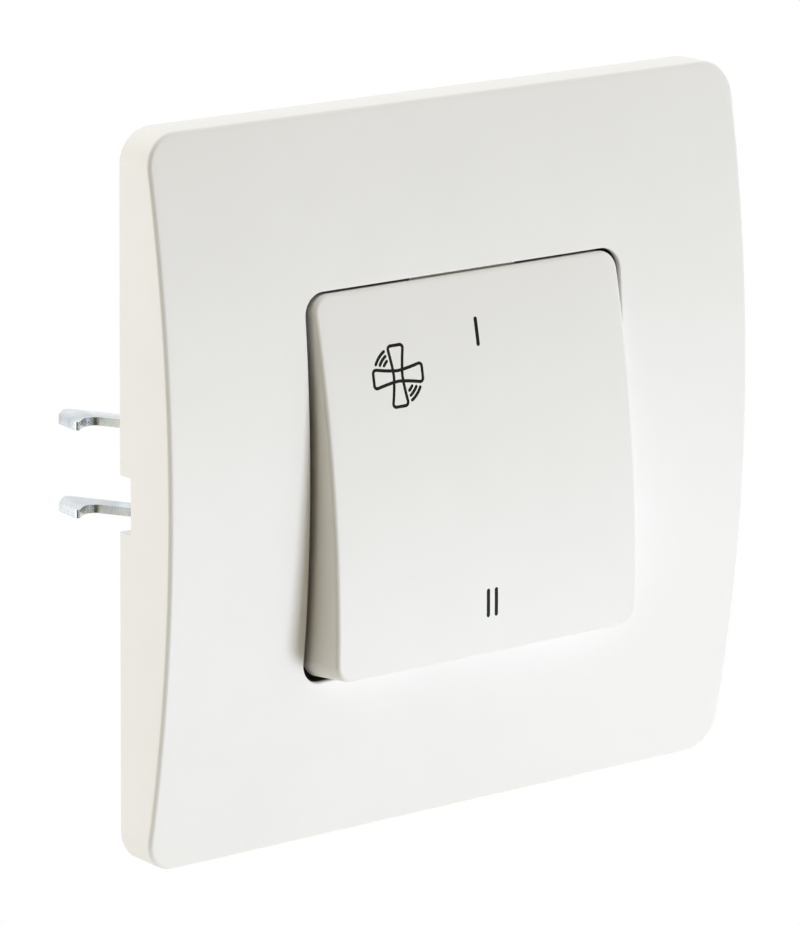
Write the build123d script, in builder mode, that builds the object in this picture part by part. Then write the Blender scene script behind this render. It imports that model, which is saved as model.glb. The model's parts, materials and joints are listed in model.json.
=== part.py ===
from build123d import *

import os
from math import cos, radians, sin, sqrt, tan

# Ventilation control switch: a two-position rocker on a square wall plate, with its mechanism,
# steel support frame and two fixing claws. Millimetres. X is to the right, Y into the wall,
# Z up. The wall plane is Y = 0, and a height is a distance in front of it, a depth one behind it.

# Cover plate
plate_side = 84.4
plate_corner_radius = 4.0
plate_edge_height = 4.8
plate_crown = 4.7
plate_wall = 1.8
plate_edge_round = 0.5
opening_width = 45.7
opening_height = 45.3
opening_corner_radius = 2.6
opening_lip_round = 0.2
collar_wall = 1.2
collar_frame_gap = 0.25
rib_wall = 1.0
rib_spacing = 24.0
rib_clearance = 0.25
notch_width = 6.5
notch_depth = 2.05

# Rocker key and its travel to each side of the middle
rocker_tilt = 6.6
pivot_height = 6.56
key_side_clearance = 0.85
key_end_clearance = 0.6
key_face_height = 6.0
key_crown_radius = 161.0
key_wall = 1.6
key_corner_radius = 2.2
key_edge_round = 0.5
key_flange_gap = 0.25
key_rib_spacing = 20.0
key_rib_length = 22.0
snap_arm_width = 8.0
snap_arm_wall = 1.0
snap_hook = 0.8
snap_gap = 0.12

# Carrier under the key
carrier_end_gap = 5.5
carrier_lug_step = 0.25
carrier_wall = 1.5
carrier_pivot_gap = 0.9
trunnion_radius = 1.6
lug_radius = 2.4
lug_width = 3.0
pivot_clearance = 0.05
barrel_radius = 2.9
barrel_mouth_radius = 2.6
barrel_length = 8.9
gusset_wall = 0.9
gusset_reach = 4.0

# Plunger and spring
plunger_radius = 2.0
plunger_tip_radius = 1.6
plunger_reach = 14.0
plunger_length = 12.6
plunger_clearance = 0.05
plunger_gap = 0.15
spring_wire = 0.36
spring_radius = 1.5
spring_turns = 5
spring_end_gap = 0.04

# Mechanism cover
flange_thickness = 1.0
flange_clearance = 0.45
flange_overlap = 2.1
plug_depth = 0.6
plug_clearance = 0.15
cheek_wall = 1.8
cheek_gap = 0.5
cheek_key_gap = 2.1
cheek_radius = 2.7
cheek_foot = 9.0
tongue_width = 15.4
tongue_thickness = 0.75
tongue_lip_gap = 0.55
tongue_clearance = 0.25
catch_spacing = 26.0
catch_width = 5.0
catch_wall = 0.5
catch_key_gap = 0.2
catch_nose = 0.8
catch_height = 2.6
catch_clearance = 0.15

# Mechanism housing
housing_depth = 21.0
housing_corner_radius = 3.0
housing_wall = 1.8
housing_floor = 1.5
partition_wall = 1.0
partition_gap = 0.7
partition_start = 2.5
chamber_width = 11.3
chamber_gap = 1.5
row_gap = 0.3
screw_inset = 2.1
screw_radius = 1.1
screw_head_radius = 1.9
screw_head_height = 1.3
screw_length = 12.0
screw_clearance = 0.03
boss_radius = 2.3
latch_width = 6.0
latch_depth = 2.4
latch_height = 0.8
latch_gap = 0.1
latch_spacing = 22.0

# Contacts
lever_pivot_depth = 12.3
lever_ratio = 1.0
lever_length = 27.2
lever_width = 5.2
lever_thickness = 1.2
lever_nose_radius = 1.2
lever_rib_wall = 1.6
saddle_width = 6.4
saddle_rise = 0.95
contact_spacing = 24.0
contact_radius = 1.7
contact_height = 0.9
contact_dome = 0.25
contact_gap = 0.12
rivet_radius = 0.9
rivet_clearance = 0.02
rivet_tail_radius = 1.4
rivet_tail_height = 0.4
cradle_clearance = 0.15
terminal_depth = 14.0
terminal_thickness = 1.0
terminal_width = 5.0
terminal_clearance = 0.2

# Wire clamps
wire_hole_radius = 1.5
wire_pitch = 5.0
wire_funnel = 0.5
wire_bar_overlap = 0.1
bar_front_depth = 6.5
bar_width = 9.0
bar_back_gap = 1.5
clamp_thickness = 0.45
clamp_width = 8.6
clamp_bend_radius = 1.2
clamp_wall_gap = 0.15
clamp_front_depth = 7.5
clamp_tip_depth = 11.0
clamp_loop_width = 2.5
clamp_bar_gap = 0.1
release_width = 2.0
release_height = 6.4
release_clearance = 0.25
release_shoulder = 0.8
release_shoulder_depth = 1.7
release_gap = 0.2
release_proud = 0.9
release_hole_wall = 0.7

# Steel support frame
frame_side = 70.6
frame_corner_radius = 5.0
frame_thickness = 1.0
frame_housing_gap = 0.3
fixing_pitch = 60.0
fixing_slot_length = 7.0
fixing_slot_width = 4.2
lip_length = 46.0
lip_height = 1.6
joining_notch_width = 6.0
joining_notch_depth = 1.6
corner_hole_radius = 1.7

# Claws: U is outwards and V is along the prongs, from the claw's own pin
claw_splay = 30.0
claw_pin_depth = 1.8
claw_pin_radius = 0.7
claw_pin_fit = 0.02
claw_pin_head = 0.25
claw_bore_clearance = 0.05
claw_sheet = 1.0
claw_width = 11.3
claw_toe_radius = 1.5
claw_web_reach = 6.3
claw_web_position = 3.0
claw_arm_outer = 3.35
claw_arm_width = 2.25
claw_tooth_reach = 6.86
claw_tooth_position = 18.62
claw_tooth_radius = 0.3
claw_throat_position = 19.25
claw_throat_radius = 1.4
claw_end_reach = 4.3
claw_end_position = 22.35
claw_end_radius = 1.0
claw_length = 23.05
claw_nose_radius = 0.6
ear_gap = 0.15
ear_wall = 1.0
ear_radius = 1.5
claw_screw_reach = 4.3
claw_screw_gap = 0.25
claw_screw_radius = 1.5
claw_screw_hole_radius = 1.9
claw_screw_head_radius = 2.5
claw_screw_head_height = 1.8
claw_screw_head_chamfer = 0.5
claw_screw_slot_width = 0.8
claw_screw_slot_depth = 0.9
claw_fork_clearance = 0.2
claw_nut_radius = 2.2
claw_nut_back = 1.3
claw_nut_gap = 0.12
claw_nut_side_gap = 0.45
claw_screw_end = 1.0

# How far a cut runs on past the material
cut_margin = 1.0

# Worked out from the sizes above
plate_half = plate_side / 2
plate_front_radius = (plate_half**2 + plate_crown**2) / (2 * plate_crown)
flange_height = frame_thickness + flange_thickness
key_width = opening_width - 2 * key_side_clearance
key_length = opening_height - 2 * key_end_clearance
key_half = key_length / 2
tilt = radians(rocker_tilt)
key_skirt = (pivot_height - flange_height - key_flange_gap - key_half * sin(tilt)) / cos(tilt)
key_edge = key_face_height - key_crown_radius + sqrt(key_crown_radius**2 - key_half**2)
carrier_front = carrier_pivot_gap + carrier_wall
trunnion_end = key_width / 2 - key_wall - cheek_key_gap
cheek_inner = trunnion_end - cheek_wall
lug_outer = cheek_inner - cheek_gap
carrier_width = 2 * (lug_outer - carrier_lug_step)
carrier_length = 2 * (key_half - key_wall - carrier_end_gap)
barrel_end = carrier_pivot_gap - barrel_length
barrel_bore = plunger_radius + plunger_clearance
barrel_top = carrier_front - carrier_wall / 2
plunger_top = plunger_length - plunger_reach - plunger_tip_radius
flange_width = opening_width - 2 * flange_clearance
flange_length = opening_height - 2 * flange_clearance
housing_width = flange_width - 2 * flange_overlap
housing_height = flange_length - 2 * flange_overlap
inside_width = housing_width - 2 * housing_wall
inside_height = housing_height - 2 * housing_wall
housing_back = housing_depth - housing_floor
screw_offset = inside_width / 2 - screw_inset
screw_rise = inside_height / 2 - screw_inset
bar_offset = inside_width / 2 - chamber_width
partition_offset = bar_offset - partition_gap - partition_wall / 2
row_height = screw_rise - boss_radius - row_gap - clamp_width / 2
lever_tilt = rocker_tilt * lever_ratio
release_inner = bar_offset + terminal_thickness + 2 * wire_hole_radius + release_hole_wall
release_offset = release_inner + release_clearance + release_width / 2
opening_half = opening_height / 2
wire_offset = bar_offset + terminal_thickness - wire_bar_overlap + wire_hole_radius
collar_half_width = opening_width / 2 + collar_wall
collar_half_height = opening_half + collar_wall
claw_screw_offset = collar_half_width + claw_screw_gap + claw_screw_head_radius
claw_pin_offset = claw_screw_offset - claw_screw_reach


def front(height):
    """A plane parallel to the wall at a height in front of it, facing forwards."""
    return Plane.XZ.offset(height)


def tilted_face(height, angle):
    """The plane at a height over the wall whose top leans back by an angle, facing forwards."""
    lean = radians(angle)
    return Plane(origin=(0, -height, 0), x_dir=(1, 0, 0), z_dir=(0, -cos(lean), sin(lean)))


def tilted_side(height, angle):
    """The plane across such a face: x runs up the face, y out of it, and it looks along +X."""
    lean = radians(angle)
    return Plane(origin=(0, -height, 0), x_dir=(0, sin(lean), cos(lean)), z_dir=(1, 0, 0))


def plate_height(z):
    """The height of the plate's front over the wall at a height z on the plate."""
    return plate_edge_height + plate_crown - plate_front_radius + sqrt(plate_front_radius**2 - z**2)


def save(piece, label):
    """Name a finished piece and write it."""
    piece.part.label = label
    export_step(piece.part, f"parts/{label}.step")


os.makedirs("parts", exist_ok=True)

# Cover plate: an arched square shell with a collar round its opening and stiffening ribs
inner_half = plate_half - plate_wall
collar_end = frame_thickness + collar_frame_gap
rib_base = flange_height + claw_screw_head_height - frame_thickness + rib_clearance
with BuildPart() as plate_hollow:
    with BuildSketch(front(-cut_margin)):
        RectangleRounded(2 * inner_half, 2 * inner_half, plate_corner_radius - plate_wall)
    extrude(amount=plate_side)
    with BuildSketch(tilted_side(0, 0)):
        with Locations((0, plate_height(0) - plate_front_radius)):
            Circle(plate_front_radius - plate_wall)
    extrude(amount=plate_side, both=True, mode=Mode.INTERSECT)
    with BuildSketch(front(collar_end)):
        RectangleRounded(
            2 * collar_half_width, 2 * collar_half_height, opening_corner_radius + collar_wall
        )
    extrude(amount=plate_side, mode=Mode.SUBTRACT)
    with BuildSketch(front(rib_base)):
        with GridLocations(0, rib_spacing, 1, 2):
            Rectangle(plate_side, rib_wall)
        with GridLocations(rib_spacing, 0, 2, 1):
            Rectangle(rib_wall, plate_side)
    extrude(amount=plate_side, mode=Mode.SUBTRACT)

with BuildPart() as cover_plate:
    with BuildSketch(front(0)):
        RectangleRounded(plate_side, plate_side, plate_corner_radius)
    extrude(amount=plate_side)
    with BuildSketch(tilted_side(0, 0)):
        with Locations((0, plate_height(0) - plate_front_radius)):
            Circle(plate_front_radius)
    extrude(amount=plate_side, both=True, mode=Mode.INTERSECT)
    plate_front = cover_plate.faces().filter_by(GeomType.CYLINDER).sort_by(SortBy.AREA)[-1]
    fillet(plate_front.edges(), plate_edge_round)
    add(plate_hollow.part, mode=Mode.SUBTRACT)
    with BuildSketch(front(0)):
        RectangleRounded(opening_width, opening_height, opening_corner_radius)
    extrude(amount=plate_side, mode=Mode.SUBTRACT)
    with BuildSketch(front(0)):
        RectangleRounded(
            2 * collar_half_width, 2 * collar_half_height, opening_corner_radius + collar_wall
        )
    extrude(amount=collar_end, mode=Mode.SUBTRACT)
    plate_front = cover_plate.faces().filter_by(GeomType.CYLINDER).sort_by(SortBy.AREA)[-1]
    fillet(plate_front.inner_wires()[0].edges(), opening_lip_round)
    window_low = flange_height + catch_height - catch_nose - 2 * catch_clearance
    window_high = flange_height + catch_height + catch_clearance
    with BuildSketch(Plane.YZ.offset(-collar_half_width - cut_margin)):
        with Locations((-(window_low + window_high) / 2, 0)):
            with GridLocations(0, catch_spacing, 1, 2):
                Rectangle(window_high - window_low, catch_width + 2 * catch_clearance)
    extrude(amount=2 * (collar_half_width + cut_margin), mode=Mode.SUBTRACT)
    with BuildSketch(Plane.YZ.offset(-plate_half - cut_margin)):
        Rectangle(2 * notch_depth, notch_width)
    extrude(amount=plate_wall + 2 * cut_margin, mode=Mode.SUBTRACT)
save(cover_plate, "cover_plate")

# Rocker key: an arched shell pushed in at its top, with ribs and snap arms for the carrier
key_face = tilted_face(pivot_height, rocker_tilt)
key_side = tilted_side(pivot_height, rocker_tilt)
recess_floor = opening_half - opening_lip_round / 2 - tongue_thickness - tongue_clearance
recess_floor = recess_floor - key_edge * sin(tilt)
tongue_high = opening_half - opening_lip_round / 2
tongue_low = tongue_high - tongue_thickness
tongue_tip = plate_height(opening_half) - tongue_lip_gap
recess_front = (tongue_tip + tongue_clearance - pivot_height + key_half * sin(tilt)) / cos(tilt)
key_inside = key_face_height - key_wall
crown_centre = key_face_height - key_crown_radius
snap_inner = carrier_length / 2 + snap_gap
snap_outer = snap_inner + snap_arm_wall
snap_end = carrier_pivot_gap - snap_gap - snap_hook
skirt_end = -key_skirt
hollow_half = key_half - key_wall
hollow_end = skirt_end - cut_margin
with BuildPart() as key_hollow:
    with BuildSketch(key_face.offset(hollow_end)):
        RectangleRounded(key_width - 2 * key_wall, 2 * hollow_half, key_corner_radius - key_wall)
    extrude(amount=key_length)
    with BuildSketch(key_side):
        with Locations((0, crown_centre)):
            Circle(key_crown_radius - key_wall)
    extrude(amount=key_width, both=True, mode=Mode.INTERSECT)

with BuildPart() as rocker:
    with BuildSketch(key_face.offset(skirt_end)):
        RectangleRounded(key_width, key_length, key_corner_radius)
    extrude(amount=key_length)
    with BuildSketch(key_side):
        with Locations((0, crown_centre)):
            Circle(key_crown_radius)
    extrude(amount=key_width, both=True, mode=Mode.INTERSECT)
    key_front = rocker.faces().filter_by(GeomType.CYLINDER).sort_by(SortBy.AREA)[-1]
    fillet(key_front.edges(), key_edge_round)
    add(key_hollow.part, mode=Mode.SUBTRACT)
    with BuildSketch(key_side):
        for end in (-1, 1):
            with Locations((end * (recess_floor + key_half) / 2, (recess_front + hollow_end) / 2)):
                Rectangle(key_half - recess_floor, recess_front - hollow_end)
    extrude(amount=tongue_width / 2 + tongue_clearance, both=True, mode=Mode.SUBTRACT)
    with BuildSketch(key_face.offset(carrier_front)):
        with GridLocations(key_rib_spacing, 0, 2, 1):
            Rectangle(rib_wall, key_rib_length)
    extrude(amount=key_inside - carrier_front + key_wall / 3)
    with BuildSketch(key_side):
        for end in (-1, 1):
            with BuildLine():
                Polyline(
                    (end * snap_inner, key_inside),
                    (end * snap_outer, key_inside),
                    (end * snap_outer, snap_end),
                    (end * snap_inner, snap_end),
                    (end * (snap_inner - snap_hook), carrier_pivot_gap - snap_gap - snap_hook / 2),
                    (end * (snap_inner - snap_hook), carrier_pivot_gap - snap_gap),
                    (end * snap_inner, carrier_pivot_gap - snap_gap),
                    close=True,
                )
            make_face()
    extrude(amount=snap_arm_width / 2, both=True)
save(rocker, "rocker")

# Carrier: a plate clipped under the key, with the trunnions and the plunger's barrel
key_out = Vector(0, -cos(tilt), sin(tilt))
key_axis = Axis((0, -pivot_height, 0), key_out)
with BuildPart() as rocker_carrier:
    with BuildSketch(key_face.offset(carrier_pivot_gap)):
        RectangleRounded(carrier_width, carrier_length, key_corner_radius)
    extrude(amount=carrier_wall)
    with BuildSketch(key_side.offset(lug_outer - lug_width)):
        Circle(lug_radius)
        with Locations((0, carrier_pivot_gap)):
            Rectangle(2 * lug_radius, carrier_wall)
    extrude(amount=lug_width)
    with BuildSketch(key_side.offset(lug_outer - lug_width / 2)):
        Circle(trunnion_radius)
    extrude(amount=trunnion_end - lug_outer + lug_width / 2)
    mirror(about=Plane.YZ)
    with BuildSketch(key_side):
        with BuildLine():
            Polyline(
                (0, carrier_pivot_gap), (barrel_radius, carrier_pivot_gap),
                (barrel_mouth_radius, barrel_end), (0, barrel_end),
                close=True,
            )
        make_face()
    revolve(axis=key_axis)
    for half_turn in (1, -1):
        with BuildSketch(key_side):
            with BuildLine():
                Polyline(
                    (0, carrier_pivot_gap),
                    (half_turn * (barrel_radius + gusset_reach), carrier_pivot_gap),
                    (0, carrier_pivot_gap - gusset_reach),
                    close=True,
                )
            make_face()
        extrude(amount=gusset_wall / 2, both=True)
    with BuildSketch(key_face.offset(barrel_top)):
        Circle(barrel_bore)
    extrude(amount=barrel_end - barrel_top, mode=Mode.SUBTRACT)
save(rocker_carrier, "rocker_carrier")

# Plunger: a round-nosed pin that slides in the barrel
with BuildPart() as plunger:
    with BuildSketch(key_side):
        with BuildLine():
            Polyline(
                (0, plunger_top),
                (plunger_radius, plunger_top),
                (plunger_radius, barrel_end - plunger_tip_radius),
                (plunger_tip_radius, barrel_end - plunger_radius),
                (plunger_tip_radius, -plunger_reach),
            )
            RadiusArc(
                (plunger_tip_radius, -plunger_reach),
                (0, -plunger_reach - plunger_tip_radius),
                plunger_tip_radius,
            )
            Line((0, -plunger_reach - plunger_tip_radius), (0, plunger_top))
        make_face()
    revolve(axis=key_axis)
save(plunger, "plunger")

# Plunger spring: a coil of six-sided wire between the plunger and the end of the barrel
spring_low = plunger_top + spring_wire / 2 + spring_end_gap
spring_high = barrel_top - spring_wire / 2 - spring_end_gap
spring_foot = Vector(0, -pivot_height, 0) + key_out * spring_low
with BuildPart() as plunger_spring:
    with BuildLine() as coil:
        Helix(
            pitch=(spring_high - spring_low) / spring_turns,
            height=spring_high - spring_low,
            radius=spring_radius,
            center=spring_foot,
            direction=key_out,
        )
    with BuildSketch(Plane(origin=coil.line @ 0, z_dir=coil.line % 0)):
        RegularPolygon(radius=spring_wire / 2, side_count=6)
    sweep(path=coil.line)
save(plunger_spring, "plunger_spring")

# Mechanism cover: the lid with the pivot cheeks, the stop tongues and the plate catches
barrel_sweep = (pivot_height + plug_depth) * tan(tilt)
slot_length = 2 * (barrel_radius + barrel_sweep + key_flange_gap)
catch_root = key_width / 2 + catch_key_gap
catch_outer = catch_root + catch_wall
with BuildPart() as mechanism_cover:
    with BuildSketch(front(frame_thickness)):
        RectangleRounded(flange_width, flange_length, opening_corner_radius)
    extrude(amount=flange_thickness)
    with BuildSketch(front(frame_thickness)):
        RectangleRounded(
            inside_width - 2 * plug_clearance,
            inside_height - 2 * plug_clearance,
            housing_corner_radius - housing_wall,
        )
    extrude(amount=-frame_thickness - plug_depth)
    with BuildSketch(tilted_side(pivot_height, 0).offset(cheek_inner)):
        Circle(cheek_radius)
        with BuildLine():
            Polyline(
                (-cheek_radius, 0),
                (-cheek_foot / 2, flange_height - pivot_height),
                (cheek_foot / 2, flange_height - pivot_height),
                (cheek_radius, 0),
                close=True,
            )
        make_face()
        Circle(trunnion_radius + pivot_clearance, mode=Mode.SUBTRACT)
    extrude(amount=cheek_wall)
    with BuildSketch(tilted_side(0, 0).offset(-tongue_width / 2)):
        for end in (-1, 1):
            with Locations((end * (tongue_low + tongue_high) / 2, (frame_thickness + tongue_tip) / 2)):
                Rectangle(tongue_thickness, tongue_tip - frame_thickness)
    extrude(amount=tongue_width)
    for middle in (-catch_spacing / 2, catch_spacing / 2):
        with BuildSketch(Plane.XY.offset(middle - catch_width / 2)):
            with BuildLine():
                Polyline(
                    (catch_root, -frame_thickness),
                    (catch_root, -flange_height - catch_height),
                    (catch_outer, -flange_height - catch_height),
                    (catch_outer + catch_nose, -flange_height - catch_height + catch_nose / 2),
                    (catch_outer + catch_nose, -flange_height - catch_height + catch_nose),
                    (catch_outer, -flange_height - catch_height + catch_nose),
                    (catch_outer, -frame_thickness),
                    close=True,
                )
            make_face()
        extrude(amount=catch_width)
    mirror(about=Plane.YZ)
    with BuildSketch(front(flange_height)):
        RectangleRounded(2 * (barrel_radius + key_flange_gap), slot_length, barrel_mouth_radius / 2)
        with GridLocations(2 * screw_offset, 2 * screw_rise, 2, 2):
            Circle(screw_radius + screw_clearance)
    extrude(amount=-flange_height - plug_depth, mode=Mode.SUBTRACT)
save(mechanism_cover, "mechanism_cover")

# Mechanism housing: a deep box with wire chambers to both sides of the switching space
chamber_outer = inside_width / 2
chamber_middle = (partition_offset + chamber_outer) / 2
common_wall_rise = bar_width / 2 + chamber_gap + partition_wall / 2
with BuildPart() as mechanism_housing:
    with BuildSketch(front(frame_thickness)):
        RectangleRounded(housing_width, housing_height, housing_corner_radius)
    extrude(amount=-frame_thickness - housing_depth)
    with BuildSketch(front(frame_thickness)):
        RectangleRounded(inside_width, inside_height, housing_corner_radius - housing_wall)
    extrude(amount=-frame_thickness - housing_back, mode=Mode.SUBTRACT)
    with BuildSketch(front(-plug_depth)):
        with GridLocations(2 * screw_offset, 2 * screw_rise, 2, 2):
            Circle(boss_radius)
    extrude(amount=plug_depth - housing_back)
    with BuildSketch(front(-partition_start)):
        with GridLocations(2 * partition_offset, 0, 2, 1):
            Rectangle(partition_wall, inside_height)
        with Locations((chamber_middle, 0)):
            Rectangle(chamber_outer - partition_offset, partition_wall)
        with Locations((-chamber_middle, 0)):
            with GridLocations(0, 2 * common_wall_rise, 1, 2):
                Rectangle(chamber_outer - partition_offset, partition_wall)
    extrude(amount=partition_start - housing_back)
    with BuildSketch(front(terminal_clearance - terminal_depth)):
        with Locations((partition_offset, 0)):
            with GridLocations(0, contact_spacing, 1, 2):
                Rectangle(2 * partition_wall, terminal_width + 2 * terminal_clearance)
        with Locations((-partition_offset, 0)):
            Rectangle(2 * partition_wall, terminal_width + 2 * terminal_clearance)
    extrude(amount=-terminal_thickness - 2 * terminal_clearance, mode=Mode.SUBTRACT)
    wire_rows = [(1, -row_height), (1, row_height), (-1, 0)]
    for side, row in wire_rows:
        with BuildSketch(front(-housing_depth)):
            with Locations((side * wire_offset, row)):
                with GridLocations(0, wire_pitch, 1, 2):
                    Circle(wire_hole_radius)
            with Locations((side * release_offset, row)):
                Rectangle(release_width + 2 * release_clearance, release_height + 2 * release_clearance)
        extrude(amount=housing_floor, mode=Mode.SUBTRACT)
    rear_arcs = mechanism_housing.edges().filter_by(GeomType.CIRCLE).group_by(Axis.Y)[-1]
    chamfer(rear_arcs.group_by(SortBy.RADIUS)[0], wire_funnel)
    with BuildSketch(front(-housing_back)):
        with GridLocations(2 * screw_offset, 2 * screw_rise, 2, 2):
            Circle(screw_radius + screw_clearance)
    extrude(amount=housing_back, mode=Mode.SUBTRACT)
    latch_top = housing_height / 2 + latch_height
    latch_root = (housing_height - housing_wall) / 2
    for end in (-1, 1):
        for middle in (-latch_spacing / 2, latch_spacing / 2):
            with BuildSketch(Plane.YZ.offset(middle - latch_width / 2)):
                with BuildLine():
                    Polyline(
                        (latch_gap, end * latch_root),
                        (latch_gap, end * latch_top),
                        (latch_depth / 2, end * latch_top),
                        (latch_depth, end * housing_height / 2),
                        (latch_depth, end * latch_root),
                        close=True,
                    )
                make_face()
            extrude(amount=latch_width)
save(mechanism_housing, "mechanism_housing")

# Housing screws: four small screws through the lid into the bosses
with BuildPart() as housing_screws:
    with BuildSketch(front(flange_height)):
        with GridLocations(2 * screw_offset, 2 * screw_rise, 2, 2):
            Circle(screw_head_radius)
    extrude(amount=screw_head_height)
    with BuildSketch(front(flange_height)):
        with GridLocations(2 * screw_offset, 2 * screw_rise, 2, 2):
            Circle(screw_radius)
    extrude(amount=-screw_length)
    with BuildSketch(front(flange_height + screw_head_height)):
        with GridLocations(2 * screw_offset, 2 * screw_rise, 2, 2):
            Rectangle(2 * screw_head_radius, claw_screw_slot_width)
    extrude(amount=-screw_head_height / 2, mode=Mode.SUBTRACT)
save(housing_screws, "housing_screws")

# Contact lever: the see-saw, leaning the other way, with a saddle that the plunger's tip follows
lever_face = tilted_face(-lever_pivot_depth, -lever_tilt)
lever_side = tilted_side(-lever_pivot_depth, -lever_tilt)
lever_middle = Plane(lever_face.origin, x_dir=(1, 0, 0), z_dir=lever_side.x_dir)
tip_height = lever_pivot_depth + pivot_height - plunger_reach
saddle_bottom = tip_height - plunger_tip_radius - plunger_gap
tip_arm = plunger_reach - lever_ratio * tip_height
tip_bend = plunger_reach * (0.5 + lever_ratio) - lever_ratio**2 * tip_height / 2
tip_path_radius = tip_arm**2 / (2 * tip_bend)
saddle_radius = tip_path_radius + plunger_tip_radius + plunger_gap
lever_front = saddle_bottom
lever_back = lever_front - lever_thickness
with BuildPart() as contact_lever:
    with BuildSketch(lever_side):
        with Locations((0, (lever_front + lever_back) / 2)):
            Rectangle(lever_length, lever_thickness)
        with Locations((0, lever_back / 2)):
            Rectangle(lever_rib_wall, lever_back)
        Circle(lever_nose_radius)
        with Locations((0, lever_front + saddle_rise / 2)):
            Rectangle(saddle_width, saddle_rise)
        with Locations((0, saddle_bottom + saddle_radius)):
            Circle(saddle_radius, mode=Mode.SUBTRACT)
    extrude(amount=lever_width / 2, both=True)
    with BuildSketch(lever_face):
        with GridLocations(0, contact_spacing, 1, 2):
            Circle(rivet_radius + rivet_clearance)
    extrude(amount=lever_front + saddle_rise, mode=Mode.SUBTRACT)
save(contact_lever, "contact_lever")

# Moving contacts: one domed rivet at each end of the lever
dome_radius = (contact_radius**2 + contact_dome**2) / (2 * contact_dome)
contact_arm = contact_spacing / 2
contact_crest = lever_back - contact_height
with BuildPart() as moving_contacts:
    with BuildSketch(lever_side):
        with BuildLine():
            Polyline(
                (contact_arm, contact_crest),
                (contact_arm, lever_front + rivet_tail_height),
                (contact_arm + rivet_tail_radius, lever_front + rivet_tail_height),
                (contact_arm + rivet_tail_radius, lever_front),
                (contact_arm + rivet_radius, lever_front),
                (contact_arm + rivet_radius, lever_back),
                (contact_arm + contact_radius, lever_back),
                (contact_arm + contact_radius, contact_crest + contact_dome),
            )
            RadiusArc(
                (contact_arm + contact_radius, contact_crest + contact_dome),
                (contact_arm, contact_crest),
                dome_radius,
            )
        make_face()
    revolve(axis=Axis((lever_side * Location((contact_arm, 0, 0))).position, lever_face.z_dir))
    mirror(about=lever_middle)
save(moving_contacts, "moving_contacts")

# Fixed contacts: flat rivets that the closed contact's dome just meets
lean = radians(lever_tilt)
dome_centre = contact_crest + dome_radius
dome_depth = lever_pivot_depth - dome_centre * cos(lean) + contact_arm * sin(lean) + dome_radius
fixed_face_depth = dome_depth + contact_gap
with BuildPart() as fixed_contact_one:
    with BuildSketch(front(-fixed_face_depth)):
        with Locations((0, -contact_arm)):
            Circle(contact_radius)
    extrude(amount=fixed_face_depth - terminal_depth)
    with BuildSketch(front(-terminal_depth)):
        with Locations((0, -contact_arm)):
            Circle(rivet_radius)
    extrude(amount=-terminal_thickness)
    with BuildSketch(front(-terminal_depth - terminal_thickness)):
        with Locations((0, -contact_arm)):
            Circle(rivet_tail_radius)
    extrude(amount=-rivet_tail_height)
save(fixed_contact_one, "fixed_contact_one")

with BuildPart() as fixed_contact_two:
    mirror(fixed_contact_one.part, about=Plane.XY)
save(fixed_contact_two, "fixed_contact_two")

# Terminals: brass strips from the contacts to the clamping bars in the wire chambers
bar_outer = bar_offset + terminal_thickness
bar_back = housing_back - bar_back_gap
strip_end = lever_width / 2
with BuildPart() as position_one_terminal:
    with BuildSketch(front(-terminal_depth)):
        with Locations(((bar_outer - strip_end) / 2, -contact_arm)):
            Rectangle(bar_outer + strip_end, terminal_width)
        with Locations((0, -contact_arm)):
            Circle(rivet_radius + rivet_clearance, mode=Mode.SUBTRACT)
    extrude(amount=-terminal_thickness)
    with BuildSketch(front(-bar_front_depth)):
        with Locations((bar_offset + terminal_thickness / 2, -row_height)):
            Rectangle(terminal_thickness, bar_width)
    extrude(amount=bar_front_depth - bar_back)
save(position_one_terminal, "position_one_terminal")

with BuildPart() as position_two_terminal:
    mirror(position_one_terminal.part, about=Plane.XY)
save(position_two_terminal, "position_two_terminal")

cradle_radius = lever_nose_radius + cradle_clearance
cradle_front = lever_pivot_depth - lever_nose_radius / 3
with BuildPart() as common_terminal:
    with BuildSketch(front(-terminal_depth)):
        with Locations((-(bar_outer - strip_end) / 2, 0)):
            Rectangle(bar_outer + strip_end, terminal_width)
    extrude(amount=-terminal_thickness)
    with BuildSketch(front(-cradle_front)):
        Rectangle(lever_width, terminal_width)
    extrude(amount=cradle_front - terminal_depth)
    with BuildSketch(tilted_side(-lever_pivot_depth, 0)):
        Circle(cradle_radius)
    extrude(amount=lever_width, both=True, mode=Mode.SUBTRACT)
    with BuildSketch(front(-bar_front_depth)):
        with Locations((-bar_offset - terminal_thickness / 2, 0)):
            Rectangle(terminal_thickness, bar_width)
    extrude(amount=bar_front_depth - bar_back)
save(common_terminal, "common_terminal")

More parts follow.
